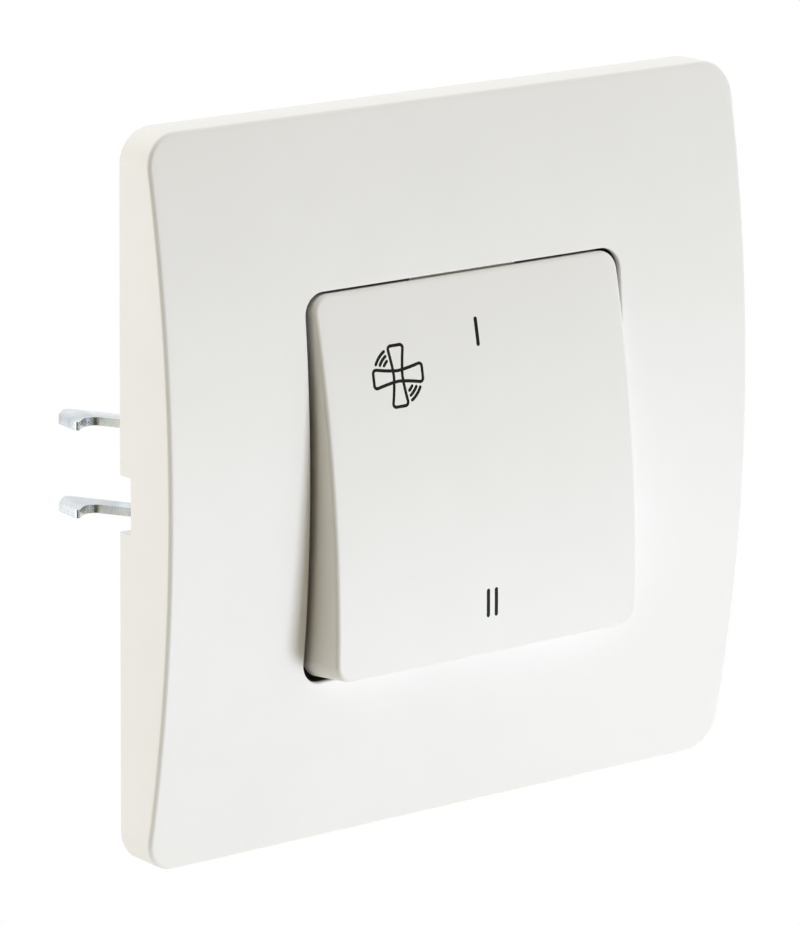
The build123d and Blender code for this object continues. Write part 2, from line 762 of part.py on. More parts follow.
# Wire clamps: in each chamber a bent leaf, and the release key that pushes its tongue away
clamp_outer = chamber_outer - clamp_wall_gap - clamp_thickness
clamp_back = housing_back - clamp_wall_gap - 2 * clamp_thickness - release_shoulder_depth / 2
loop_inner = clamp_outer - clamp_loop_width
clamp_tip = bar_outer + clamp_bar_gap + clamp_thickness
tongue_slope = (clamp_back - clamp_tip_depth) / (loop_inner - clamp_tip)
release_outer = release_offset + release_width / 2
tongue_depth = clamp_tip_depth + (release_outer - clamp_tip) * tongue_slope
tongue_skin = clamp_thickness * sqrt(1 + tongue_slope**2)
release_foot = tongue_depth + tongue_skin + release_gap
clamp_places = [("common", -1, 0), ("position_one", 1, -row_height), ("position_two", 1, row_height)]
for place, side, row in clamp_places:
    with BuildPart() as clamp_spring:
        with BuildSketch(Plane.XY.offset(row - clamp_width / 2)):
            with BuildLine():
                FilletPolyline(
                    (side * clamp_outer, clamp_front_depth),
                    (side * clamp_outer, clamp_back),
                    (side * loop_inner, clamp_back),
                    (side * clamp_tip, clamp_tip_depth),
                    radius=clamp_bend_radius,
                )
                offset(amount=clamp_thickness, side=Side.RIGHT if side > 0 else Side.LEFT)
            make_face()
        extrude(amount=clamp_width)
    save(clamp_spring, f"{place}_clamp_spring")

    with BuildPart() as release_key:
        with BuildSketch(front(-release_foot)):
            with Locations((side * release_offset, row)):
                Rectangle(release_width, release_height)
        extrude(amount=release_foot - housing_depth - release_proud)
        with BuildSketch(front(-housing_back + release_gap)):
            with Locations((side * release_offset, row)):
                Rectangle(release_width, release_height + 2 * release_shoulder)
        extrude(amount=release_shoulder_depth)
    save(release_key, f"{place}_release_key")

# Support frame: pressed steel with folded lips, and ears bent back for the claws' pins
claw_half = claw_width / 2
ear_inner = claw_half + ear_gap
with BuildPart() as support_frame:
    with BuildSketch(front(0)):
        RectangleRounded(frame_side, frame_side, frame_corner_radius)
        RectangleRounded(
            housing_width + 2 * frame_housing_gap,
            housing_height + 2 * frame_housing_gap,
            housing_corner_radius,
            mode=Mode.SUBTRACT,
        )
        with GridLocations(0, fixing_pitch, 1, 2):
            SlotOverall(fixing_slot_length, fixing_slot_width, rotation=90, mode=Mode.SUBTRACT)
        with GridLocations(2 * claw_screw_offset, 0, 2, 1):
            Circle(claw_screw_hole_radius, mode=Mode.SUBTRACT)
        with GridLocations(fixing_pitch, fixing_pitch, 2, 2):
            Circle(corner_hole_radius, mode=Mode.SUBTRACT)
        with GridLocations(0, frame_side, 1, 2):
            with GridLocations(fixing_pitch / 2, 0, 2, 1):
                Rectangle(joining_notch_width, 2 * joining_notch_depth, mode=Mode.SUBTRACT)
    extrude(amount=frame_thickness)
    with BuildSketch(front(frame_thickness)):
        with GridLocations(frame_side - frame_thickness, 0, 2, 1):
            Rectangle(frame_thickness, lip_length)
    extrude(amount=lip_height)
    for low in (ear_inner, -ear_inner - ear_wall):
        with BuildSketch(Plane.XY.offset(low)):
            with Locations((-claw_pin_offset, claw_pin_depth)):
                Circle(ear_radius)
            with Locations((-claw_pin_offset, claw_pin_depth / 2)):
                Rectangle(2 * ear_radius, claw_pin_depth)
            with Locations((-claw_pin_offset, claw_pin_depth)):
                Circle(claw_pin_radius + claw_pin_fit, mode=Mode.SUBTRACT)
        extrude(amount=ear_wall)
    mirror(about=Plane.YZ)
save(support_frame, "support_frame")

# Claw pins: through the ears and the claw's two prongs
pin_half = ear_inner + ear_wall + claw_pin_head
with BuildPart() as left_claw_pin:
    with BuildSketch(Plane.XY.offset(-pin_half)):
        with Locations((-claw_pin_offset, claw_pin_depth)):
            Circle(claw_pin_radius)
    extrude(amount=2 * pin_half)
save(left_claw_pin, "left_claw_pin")

with BuildPart() as right_claw_pin:
    mirror(left_claw_pin.part, about=Plane.YZ)
save(right_claw_pin, "right_claw_pin")

# Claws: a U of sheet steel, its two hooked prongs joined by a forked web at the screw
splay = radians(claw_splay)
claw_out = (-cos(splay), -sin(splay), 0)
claw_arm_inner = claw_arm_outer - claw_arm_width
fork_half = claw_screw_radius + claw_fork_clearance
web_back = claw_web_position + claw_sheet / 2
fork_root = (claw_screw_reach - web_back * sin(splay)) / cos(splay) - fork_half * (1 / cos(splay) - 1)
claw_web_foot = claw_toe_radius - claw_sheet / 2


def claw_plane(height):
    """The left claw's own plane at a height z: x is outwards, y along the prongs, facing down."""
    return Plane(origin=(-claw_pin_offset, claw_pin_depth, height), x_dir=claw_out, z_dir=(0, 0, -1))


with BuildPart() as left_claw:
    for top in (claw_half, claw_sheet - claw_half):
        with BuildSketch(claw_plane(top)):
            with BuildLine():
                Polyline(
                    (-claw_toe_radius, 0),
                    (-claw_toe_radius, web_back),
                    (claw_arm_inner, web_back + claw_arm_width),
                    (claw_arm_inner, claw_length),
                    (claw_end_reach, claw_end_position),
                    (claw_tooth_reach, claw_tooth_position),
                    (claw_arm_outer, claw_throat_position),
                    (claw_arm_outer, web_back + claw_arm_width),
                    (claw_web_reach, web_back + claw_sheet),
                    (claw_web_reach, web_back - claw_sheet),
                    (claw_toe_radius, 0),
                    close=True,
                )
            make_face()
            Circle(claw_toe_radius)
        extrude(amount=claw_sheet)
    for reach, position, radius in (
        (claw_arm_outer, claw_throat_position, claw_throat_radius),
        (claw_tooth_reach, claw_tooth_position, claw_tooth_radius),
        (claw_end_reach, claw_end_position, claw_end_radius),
        (claw_arm_inner, claw_length, claw_nose_radius),
    ):
        corner = claw_plane(0).from_local_coords(Vector(reach, position, 0))
        fillet(left_claw.edges().filter_by(Axis.Z).sort_by_distance(corner)[:2], radius)
    with BuildSketch(claw_plane(claw_half)):
        with Locations(((claw_web_reach - claw_web_foot) / 2, claw_web_position)):
            Rectangle(claw_web_reach + claw_web_foot, claw_sheet)
    extrude(amount=claw_width)
    web_plane = Plane(
        origin=claw_plane(0).from_local_coords(Vector(0, web_back + cut_margin, 0)),
        x_dir=claw_out,
        z_dir=claw_plane(0).y_dir,
    )
    with BuildSketch(web_plane):
        with Locations((fork_root, 0)):
            Circle(fork_half)
        with Locations((fork_root + claw_web_reach / 2, 0)):
            Rectangle(claw_web_reach, 2 * fork_half)
    extrude(amount=-claw_sheet - 2 * cut_margin, mode=Mode.SUBTRACT)
    with BuildSketch(claw_plane(claw_half)):
        Circle(claw_pin_radius + claw_bore_clearance)
    extrude(amount=claw_width, mode=Mode.SUBTRACT)
save(left_claw, "left_claw")

with BuildPart() as right_claw:
    mirror(left_claw.part, about=Plane.YZ)
save(right_claw, "right_claw")

# Claw nuts: a round-fronted bar that the screw draws against the web
nut_press = (claw_nut_radius + claw_web_position + claw_sheet / 2) / cos(splay)
claw_nut_depth = claw_pin_depth + nut_press - claw_screw_reach * tan(splay) + claw_nut_gap
claw_nut_open = claw_pin_depth + claw_nut_radius + claw_web_position + claw_sheet / 2 + claw_nut_gap
nut_half = claw_half - claw_sheet - claw_nut_side_gap
with BuildPart() as left_claw_nut:
    with BuildSketch(Plane.XY.offset(-nut_half)):
        with Locations((-claw_screw_offset, claw_nut_depth)):
            Circle(claw_nut_radius)
        with Locations((-claw_screw_offset, claw_nut_depth + claw_nut_back / 2)):
            Rectangle(2 * claw_nut_radius, claw_nut_back)
    extrude(amount=2 * nut_half)
    with BuildSketch(front(-claw_nut_depth)):
        with Locations((-claw_screw_offset, 0)):
            Circle(claw_screw_radius + pivot_clearance)
    extrude(amount=2 * claw_nut_radius, both=True, mode=Mode.SUBTRACT)
save(left_claw_nut, "left_claw_nut")

with BuildPart() as right_claw_nut:
    mirror(left_claw_nut.part, about=Plane.YZ)
save(right_claw_nut, "right_claw_nut")

# Claw screws: pan heads in front of the frame
screw_seat = frame_thickness + pivot_clearance
screw_tail_depth = claw_nut_open + claw_nut_back + claw_screw_end
with BuildPart() as left_claw_screw:
    with BuildSketch(front(screw_seat)):
        with Locations((-claw_screw_offset, 0)):
            Circle(claw_screw_head_radius)
    extrude(amount=claw_screw_head_height)
    chamfer(left_claw_screw.edges().group_by(Axis.Y)[0], claw_screw_head_chamfer)
    with BuildSketch(front(screw_seat)):
        with Locations((-claw_screw_offset, 0)):
            Circle(claw_screw_radius)
    extrude(amount=-screw_seat - screw_tail_depth)
    with BuildSketch(front(screw_seat + claw_screw_head_height)):
        with Locations((-claw_screw_offset, 0)):
            Rectangle(2 * claw_screw_head_radius, claw_screw_slot_width)
    extrude(amount=-claw_screw_slot_depth, mode=Mode.SUBTRACT)
save(left_claw_screw, "left_claw_screw")

with BuildPart() as right_claw_screw:
    mirror(left_claw_screw.part, about=Plane.YZ)
save(right_claw_screw, "right_claw_screw")
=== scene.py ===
import json
from math import cos, radians, sin

import bpy
import numpy as np
from mathutils import Matrix, Vector


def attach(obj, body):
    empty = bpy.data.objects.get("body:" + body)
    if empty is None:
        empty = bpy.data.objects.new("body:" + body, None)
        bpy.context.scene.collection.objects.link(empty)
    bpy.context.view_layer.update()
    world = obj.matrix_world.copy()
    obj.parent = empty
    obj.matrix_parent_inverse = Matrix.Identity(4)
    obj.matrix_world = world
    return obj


# Ventilation control switch: the looks of a two-position rocker on a square wall plate.
# Metres. X is to the right, Y into the wall, Z up, and the wall plane is Y = 0.

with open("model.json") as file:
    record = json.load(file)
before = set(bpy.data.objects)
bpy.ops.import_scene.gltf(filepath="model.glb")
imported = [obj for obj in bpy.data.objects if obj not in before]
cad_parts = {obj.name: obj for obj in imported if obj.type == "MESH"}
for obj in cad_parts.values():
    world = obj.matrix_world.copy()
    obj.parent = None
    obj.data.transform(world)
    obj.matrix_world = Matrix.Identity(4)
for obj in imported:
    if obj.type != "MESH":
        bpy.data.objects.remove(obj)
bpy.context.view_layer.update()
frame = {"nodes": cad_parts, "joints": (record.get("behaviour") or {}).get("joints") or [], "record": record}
mm = 0.001

# Sizes of the moulded fronts, in millimetres
plate_half = 42.2
plate_corner_radius = 4.0
plate_front_height = 9.5
plate_crown = 4.7
plate_edge_round = 0.5
opening_half_width = 22.85
opening_half_height = 22.65
opening_corner_radius = 2.6
opening_lip_round = 0.2
lip_wall_depth = 0.8
# The crown falls by a little less than this from the plate's middle to the top of its opening
lip_crown_fall = plate_crown / 3
plate_skin_height = 2.3
key_half_width = 22.0
key_half_height = 22.05
key_corner_radius = 2.2
key_face_height = 6.0
key_crown_radius = 161.0
key_edge_round = 0.5
key_skin_height = 3.9
skin_thickness = 0.015

# Sizes of the print on the key, from the middle of its face, in millimetres
ink_thickness = 0.02
ink_sink = skin_thickness / 3
position_line_width = 0.54
position_line_length = 3.38
position_one_rise = 15.3
position_two_rise = -16.05
position_two_spacing = 1.17
print_shift = 0.28
fan_line_width = 0.42
fan_place = (-11.56, 11.8)
fan_reach = 3.46
fan_blade_half = 1.13
fan_waist_half = 0.6
fan_waist_power = 1.4
fan_blade_corner = 0.5
fan_arc_radii = (3.38, 2.83, 2.28)
fan_arc_half_angles = (19.0, 16.5, 12.5)
fan_arc_middles = (135, 315)

# How finely the surfaces are divided
corner_steps = 12
side_steps = 72
face_steps = 25
roll_steps = 9
ink_width_steps = 7
ink_end_steps = 25

# The key's own directions come from the joint that it turns on
tilt_joint = next(joint for joint in frame["joints"] if joint["child"] == "rocker")
key_pivot = np.array(tilt_joint["pos_m"]) / mm
key_tilt = radians(tilt_joint["range_deg"][1] / 2)
key_up = np.array((0.0, sin(key_tilt), cos(key_tilt)))
key_out = np.array((0.0, -cos(key_tilt), sin(key_tilt)))
plate_up = np.array((0.0, 0.0, 1.0))
plate_out = np.array((0.0, -1.0, 0.0))
plate_radius = (plate_half**2 + plate_crown**2) / (2 * plate_crown)


# Surfaces as whole arrays

def rounded_outline(half_width, half_height, radius, turn):
    """A point of a rounded rectangle for each turn from 0 to 4, and the direction out of it.

    Turn q + t is in the quarter q. For t up to a half the point is the quarter's corner centre plus the
    radius times (cos a, sin a), with a from q to q + 1 right angles, and for t past a half the centre
    slides to the next quarter's corner centre while the angle rests.
    """
    quarter = np.floor(turn)
    along = turn - quarter
    angle = (quarter + np.minimum(2 * along, 1)) * np.pi / 2
    slide = np.maximum(2 * along - 1, 0)
    corner = quarter * np.pi / 2 + np.pi / 4
    side_x = np.sign(np.cos(corner)) * (1 - slide) + np.sign(np.cos(corner + np.pi / 2)) * slide
    side_z = np.sign(np.sin(corner)) * (1 - slide) + np.sign(np.sin(corner + np.pi / 2)) * slide
    x = side_x * (half_width - radius) + radius * np.cos(angle)
    z = side_z * (half_height - radius) + radius * np.sin(angle)
    return np.stack((x, z), -1), np.stack((np.cos(angle), np.sin(angle)), -1)


def ball_height(z, face_height, crown_radius, ball):
    """The height of a ball's centre that touches the crown from inside.

    It is the face height minus R plus the root of (R - ball) squared minus z squared.
    """
    return face_height - crown_radius + np.sqrt((crown_radius - ball) ** 2 - z**2)


def rolled_edge(centres, wall_ways, ball, face_height, crown_radius, wall_end, shares):
    """The strip that a ball leaves as it rolls along an edge, from the crown to the end of the wall.

    Each point is the ball's centre plus the ball's radius times a direction. Up to share 1 the direction
    turns from the crown's own (0, cos b, sin b), with sin b = z / (R - ball), to the wall's, as the sum
    (1 - share) crown + share wall made one long. From 1 to 2 the point slides down the wall to its end.
    """
    x, z = centres[:, 0], centres[:, 1]
    height = ball_height(z, face_height, crown_radius, ball)
    lean = z / (crown_radius - ball)
    crown_way = np.stack((0 * z, lean, np.sqrt(1 - lean**2)), -1)
    wall_way = np.stack((wall_ways[:, 0], wall_ways[:, 1], 0 * z), -1)
    bend = np.minimum(shares, 1)[:, None, None]
    way = (1 - bend) * crown_way + bend * wall_way
    way /= np.linalg.norm(way, axis=-1, keepdims=True)
    drop = np.maximum(shares - 1, 0)[:, None]
    level = height + drop * (wall_end - height)
    return np.stack((x + ball * way[..., 0], z + ball * way[..., 1], level + ball * way[..., 2]), -1)


def crown_rows(inner, outer, inner_ball, outer_ball, face_height, crown_radius, shares):
    """Points on the crown between two lines of ball centres: each is a blend of both by its share.

    A point stands off its centre (x, z) by the ball along (0, cos b, sin b), with sin b = z / (R - ball).
    """
    share = shares[:, None]
    ball = (1 - share) * inner_ball + share * outer_ball
    x = (1 - share) * inner[:, 0] + share * outer[:, 0]
    z = (1 - share) * inner[:, 1] + share * outer[:, 1]
    lean = z / (crown_radius - ball)
    height = ball_height(z, face_height, crown_radius, ball)
    return np.stack((x, z + ball * lean, height + ball * np.sqrt(1 - lean**2)), -1)


def placed(points, origin, up, out):
    """Points (x across, z up, height out) as places in metres: origin + x X + z up + height out."""
    across = np.array((1.0, 0.0, 0.0))
    return (origin + points[..., :1] * across + points[..., 1:2] * up + points[..., 2:] * out) * mm


def grid_faces(rows, columns, start, closed):
    """The four corners of each cell of a grid of points, joined round its columns if closed."""
    row, column = np.meshgrid(np.arange(rows - 1), np.arange(columns - (not closed)), indexing="ij")
    corner = start + row * columns + column
    beside = start + row * columns + (column + 1) % columns
    return np.stack((corner, beside, beside + columns, corner + columns), -1).reshape(-1, 4)


def new_piece(name, grids, closed, finish, body):
    """One smooth mesh object from grids of places, with its finish, on its body."""
    mesh = bpy.data.meshes.new(name)
    starts = np.cumsum([0] + [grid.shape[0] * grid.shape[1] for grid in grids])
    vertices = np.concatenate([grid.reshape(-1, 3) for grid in grids])
    faces = np.concatenate([
        grid_faces(grid.shape[0], grid.shape[1], start, closed) for grid, start in zip(grids, starts)
    ])
    mesh.from_pydata(vertices.tolist(), [], faces.tolist())
    mesh.shade_smooth()
    mesh.materials.append(finish)
    piece = bpy.data.objects.new(name, mesh)
    bpy.context.scene.collection.objects.link(piece)
    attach(piece, body)
    return piece


# Materials

grain_levels = (0.3, 0.7)
edge_samples = 6
mould_relief = 0.6
metal_relief = 0.5
streak_share = 0.5
plastic_ior = 1.53
ink_gloss = 0.12


def colour(code):
    """An sRGB hex colour as a linear one: each channel's standard transfer curve, undone."""
    parts = np.array([int(code[i:i + 2], 16) for i in (1, 3, 5)]) / 255
    linear = np.where(parts <= 0.04045, parts / 12.92, ((parts + 0.055) / 1.055) ** 2.4)
    return (*linear.tolist(), 1.0)


def add_node(tree, kind, settings=None, links=None, values=None):
    """Add one node: settings are its properties, links its inputs from sockets, values its inputs."""
    made = tree.nodes.new(kind)
    for key, value in (settings or {}).items():
        setattr(made, key, value)
    for key, value in (values or {}).items():
        made.inputs[key].default_value = value
    for key, source in (links or {}).items():
        tree.links.new(source, made.inputs[key])
    return made


def new_material(name):
    """An empty node material with its output, shader and object coordinates."""
    made = bpy.data.materials.new(name)
    made.use_nodes = True
    tree = made.node_tree
    tree.nodes.clear()
    shader = add_node(tree, "ShaderNodeBsdfPrincipled")
    add_node(tree, "ShaderNodeOutputMaterial", links={"Surface": shader.outputs["BSDF"]})
    place = add_node(tree, "ShaderNodeTexCoord").outputs["Object"]
    return made, tree, shader, place


def found(tree, kind):
    """The node of a kind in a material that has only one of it."""
    return next(node for node in tree.nodes if node.bl_idname == kind)


def finish_nodes(tree, shader, fine, gloss_range, edge, bump_share, depth):
    """Gloss that follows the fine grain, and a bump over edges softened to a radius."""
    gloss = add_node(tree, "ShaderNodeMapRange", links={"Value": fine}, values={
        "From Min": grain_levels[0], "From Max": grain_levels[1],
        "To Min": gloss_range[0], "To Max": gloss_range[1]})
    tree.links.new(gloss.outputs["Result"], shader.inputs["Roughness"])
    soft = add_node(tree, "ShaderNodeBevel", {"samples": edge_samples}, values={"Radius": edge})
    bump = add_node(tree, "ShaderNodeBump", links={"Height": fine, "Normal": soft.outputs["Normal"]},
                    values={"Strength": bump_share, "Distance": depth})
    tree.links.new(bump.outputs["Normal"], shader.inputs["Normal"])


def moulded(name, dark, light, gloss_range, grain, depth, edge=0.15 * mm, mottle=12 * mm):
    """A moulded plastic: two close shades drift over it, and the mould's spark-eroded grain lifts it.

    grain is the size of one grain, drawn coarser than a mould's real one so that it shows, depth its
    height, mottle the size of a patch of shade, and edge the radius of the moulding's edges.
    """
    made, tree, shader, place = new_material(name)
    patch = add_node(tree, "ShaderNodeTexNoise", links={"Vector": place},
                     values={"Scale": 1 / mottle, "Detail": 3.0, "Roughness": 0.55})
    shade = add_node(tree, "ShaderNodeMix", {"data_type": "RGBA"}, {"Factor": patch.outputs["Fac"]},
                     {"A": colour(dark), "B": colour(light)})
    tree.links.new(shade.outputs["Result"], shader.inputs["Base Color"])
    fine = add_node(tree, "ShaderNodeTexNoise", links={"Vector": place},
                    values={"Scale": 1 / grain, "Detail": 2.0, "Roughness": 0.6})
    finish_nodes(tree, shader, fine.outputs["Fac"], gloss_range, edge, mould_relief, depth)
    shader.inputs["IOR"].default_value = plastic_ior
    return made


def metal(name, dark, light, gloss_range, grain, stretch, depth, edge=0.1 * mm, cloud=2.5 * mm):
    """A metal: a grain drawn out along one way colours it, under clouds of a slightly duller shade.

    grain is its width, drawn coarser than real rolling lines so that it shows, stretch how many times
    longer it is along Z than across it, depth its height, and cloud a cloud's size.
    """
    made, tree, shader, place = new_material(name)
    drawn = add_node(tree, "ShaderNodeMapping", links={"Vector": place},
                     values={"Scale": (1.0, 1.0, 1 / stretch)})
    streak = add_node(tree, "ShaderNodeTexNoise", links={"Vector": drawn.outputs["Vector"]},
                      values={"Scale": 1 / grain, "Detail": 4.0, "Roughness": 0.65})
    patch = add_node(tree, "ShaderNodeTexNoise", links={"Vector": place},
                     values={"Scale": 1 / cloud, "Detail": 2.0, "Roughness": 0.5, "Distortion": 0.6})
    both = add_node(tree, "ShaderNodeMath", {"operation": "MULTIPLY_ADD"},
                    {0: streak.outputs["Fac"], 2: patch.outputs["Fac"]}, {1: streak_share})
    spread = add_node(tree, "ShaderNodeMapRange", links={"Value": both.outputs[0]},
                      values={"From Min": 0.5, "From Max": 1.0})
    shade = add_node(tree, "ShaderNodeMix", {"data_type": "RGBA"}, {"Factor": spread.outputs["Result"]},
                     {"A": colour(dark), "B": colour(light)})
    tree.links.new(shade.outputs["Result"], shader.inputs["Base Color"])
    finish_nodes(tree, shader, streak.outputs["Fac"], gloss_range, edge, metal_relief, depth)
    shader.inputs["Metallic"].default_value = 1.0
    return made


# White ABS, moulded and satin: even and clean, with a soft broad highlight
white_abs = moulded("white_abs", dark="#EAE9E7", light="#EFEEED", gloss_range=(0.46, 0.56),
                    grain=0.35 * mm, depth=0.003 * mm)

# Painted shade: between the opening's wall and the key little light comes back, so the plastic's colour is
# painted dark brown there as the gap's shade. Going out across the opening's outline the painted shade
# comes in over wall_reach and goes over wall_end, and going down from the plate's front it comes in over
# lip_depth.
painted_gap_shade = colour("#1E190D")
wall_reach = (-0.4 * mm, -0.15 * mm)
wall_end = (0.3 * mm, 0.6 * mm)
lip_depth = (0.35 * mm, 0.8 * mm)
lip_level = plate_front_height * mm
# The opening without its rounded corners: half its width and height less their radius
core_x = (opening_half_width - opening_corner_radius) * mm
core_z = (opening_half_height - opening_corner_radius) * mm
tree = white_abs.node_tree
abs_shader = found(tree, "ShaderNodeBsdfPrincipled")
abs_shade = abs_shader.inputs["Base Color"].links[0].from_socket
place = found(tree, "ShaderNodeTexCoord").outputs["Object"]
across = add_node(tree, "ShaderNodeVectorMath", {"operation": "MULTIPLY"}, {0: place},
                  {1: (1.0, 0.0, 1.0)})
folded = add_node(tree, "ShaderNodeVectorMath", {"operation": "ABSOLUTE"}, {0: across.outputs[0]})
past = add_node(tree, "ShaderNodeVectorMath", {"operation": "SUBTRACT"}, {0: folded.outputs[0]},
                {1: (core_x, 0.0, core_z)})
corner = add_node(tree, "ShaderNodeVectorMath", {"operation": "MAXIMUM"}, {0: past.outputs[0]})
distance = add_node(tree, "ShaderNodeVectorMath", {"operation": "LENGTH"}, {0: corner.outputs[0]})
reach = add_node(tree, "ShaderNodeMath", {"operation": "SUBTRACT"}, {0: distance.outputs["Value"]},
                 {1: opening_corner_radius * mm})
near = add_node(tree, "ShaderNodeMapRange", links={"Value": reach.outputs[0]},
                values={"From Min": wall_reach[0], "From Max": wall_reach[1]})
far = add_node(tree, "ShaderNodeMapRange", links={"Value": reach.outputs[0]},
               values={"From Min": wall_end[0], "From Max": wall_end[1], "To Min": 1.0, "To Max": 0.0})
parts = add_node(tree, "ShaderNodeSeparateXYZ", links={"Vector": place})
squared = add_node(tree, "ShaderNodeMath", {"operation": "MULTIPLY"},
                   {0: parts.outputs["Z"], 1: parts.outputs["Z"]})
below = add_node(tree, "ShaderNodeMath", {"operation": "MULTIPLY_ADD"},
                 {0: squared.outputs[0], 2: parts.outputs["Y"]}, {1: -1 / (2 * plate_radius * mm)})
deep = add_node(tree, "ShaderNodeMapRange", links={"Value": below.outputs[0]},
                values={"From Min": lip_depth[0] - lip_level, "From Max": lip_depth[1] - lip_level})
# Where the painted shade of the gap lies: inside the wall band and below the lip
walled = add_node(tree, "ShaderNodeMath", {"operation": "MULTIPLY"},
                  {0: near.outputs["Result"], 1: far.outputs["Result"]})
painted_shade_share = add_node(tree, "ShaderNodeMath", {"operation": "MULTIPLY"},
                  {0: walled.outputs[0], 1: deep.outputs["Result"]})
# The painted gap shade, mixed into the plastic's own colour where that share is full
painted_shade_mix = add_node(tree, "ShaderNodeMix", {"data_type": "RGBA"},
                     {"Factor": painted_shade_share.outputs[0], "A": abs_shade}, {"B": painted_gap_shade})
tree.links.new(painted_shade_mix.outputs["Result"], abs_shader.inputs["Base Color"])

# Ivory polyamide, moulded and matt: the mechanism's lid and box, duller and warmer than the plate
ivory_polyamide = moulded("ivory_polyamide", dark="#DAD4C4", light="#E3DECF", gloss_range=(0.52, 0.64),
                          grain=0.3 * mm, depth=0.008 * mm)
# Beige acetal, moulded: the carrier and plunger, a little waxy
beige_acetal = moulded("beige_acetal", dark="#C9C0A9", light="#D3CBB6", gloss_range=(0.36, 0.48),
                       grain=0.3 * mm, depth=0.004 * mm)
# Grey polyamide, moulded and matt: the push keys of the terminals
grey_polyamide = moulded("grey_polyamide", dark="#85898C", light="#92969A", gloss_range=(0.5, 0.62),
                         grain=0.3 * mm, depth=0.008 * mm)
# Zinc-plated steel, rolled and plated: cool and bright, clouded, with fine rolling lines
zinc_steel = metal("zinc_steel", dark="#B8C0C5", light="#EDF0F2", gloss_range=(0.2, 0.32),
                   grain=0.25 * mm, stretch=3.0, depth=0.002 * mm, cloud=4 * mm)
# Bright spring steel, rolled: darker and smoother
spring_steel = metal("spring_steel", dark="#9C9D9D", light="#B9BABA", gloss_range=(0.18, 0.3),
                     grain=0.4 * mm, stretch=6.0, depth=0.002 * mm)
# Brass strip, rolled and bare: warm yellow with fine lines
brass = metal("brass", dark="#B99346", light="#D2AE62", gloss_range=(0.22, 0.36),
              grain=0.4 * mm, stretch=5.0, depth=0.002 * mm)
# Silver alloy, headed and polished: pale and soft
silver_alloy = metal("silver_alloy", dark="#CFCDC8", light="#E2E0DB", gloss_range=(0.2, 0.32),
                     grain=0.3 * mm, stretch=1.0, depth=0.002 * mm)
# Pad-printed ink: brown black, thin and nearly matt, with a faint unevenness
print_ink = moulded("print_ink", dark="#060403", light="#0D0A08", gloss_range=(0.5, 0.62),
                    grain=0.12 * mm, depth=0.001 * mm, edge=0.02 * mm, mottle=2 * mm)
ink_shader = found(print_ink.node_tree, "ShaderNodeBsdfPrincipled")
ink_shader.inputs["Specular IOR Level"].default_value = ink_gloss

finishes = {
    "white_plastic": white_abs,
    "inner_plastic": ivory_polyamide,
    "carrier_plastic": beige_acetal,
    "key_plastic": grey_polyamide,
    "zinc_steel": zinc_steel,
    "spring_steel": spring_steel,
    "brass": brass,
    "silver_alloy": silver_alloy,
}
for entry in frame["record"]["subparts"]:
    node = frame["nodes"][entry["node"]]
    node.data.materials.clear()
    node.data.materials.append(finishes[entry["material_slot"]])


# The moulded fronts of the plate and the key, finely divided so that their edges run smooth

corner_turns = np.linspace(0, 0.5, corner_steps, endpoint=False)
side_turns = np.linspace(0.5, 1, side_steps, endpoint=False)
one_quarter = np.concatenate((corner_turns, side_turns))
turns = np.concatenate([quarter + one_quarter for quarter in range(4)])
face_shares = np.linspace(0, 1, face_steps)
edge_shares = np.concatenate((np.linspace(0, 1, roll_steps)[1:], (2.0,)))


def inset_outline(half_width, half_height, radius, inset):
    """The outline's line of ball centres: the same form an inset further in, with its directions."""
    return rounded_outline(half_width - inset, half_height - inset, radius - inset, turns)


edge_ball = plate_edge_round + skin_thickness
lip_ball = opening_lip_round + skin_thickness
crown = (plate_front_height + skin_thickness, plate_radius + skin_thickness)
outer_line, outer_ways = inset_outline(
    plate_half + skin_thickness, plate_half + skin_thickness,
    plate_corner_radius + skin_thickness, edge_ball)
lip_line, lip_ways = inset_outline(
    opening_half_width - skin_thickness, opening_half_height - skin_thickness,
    opening_corner_radius - skin_thickness, -lip_ball)
lip_wall_end = plate_front_height - lip_crown_fall - lip_wall_depth
plate_grid = np.concatenate((
    rolled_edge(lip_line, -lip_ways, lip_ball, *crown, lip_wall_end, edge_shares)[::-1],
    crown_rows(lip_line, outer_line, lip_ball, edge_ball, *crown, face_shares),
    rolled_edge(outer_line, outer_ways, edge_ball, *crown, plate_skin_height, edge_shares),
))
plate_front = new_piece(
    "plate_front", [placed(plate_grid, np.zeros(3), plate_up, plate_out)], True, white_abs, "mechanism")

key_ball = key_edge_round + skin_thickness
key_crown = (key_face_height + skin_thickness, key_crown_radius + skin_thickness)
key_line, key_ways = inset_outline(
    key_half_width + skin_thickness, key_half_height + skin_thickness,
    key_corner_radius + skin_thickness, key_ball)
key_grid = np.concatenate((
    crown_rows(0 * key_line, key_line, key_ball, key_ball, *key_crown, face_shares),
    rolled_edge(key_line, key_ways, key_ball, *key_crown, key_skin_height, edge_shares),
))
key_front = new_piece(
    "key_front", [placed(key_grid, key_pivot, key_up, key_out)], True, white_abs, "rocker")


# The print: strokes of ink along lines on the key's face

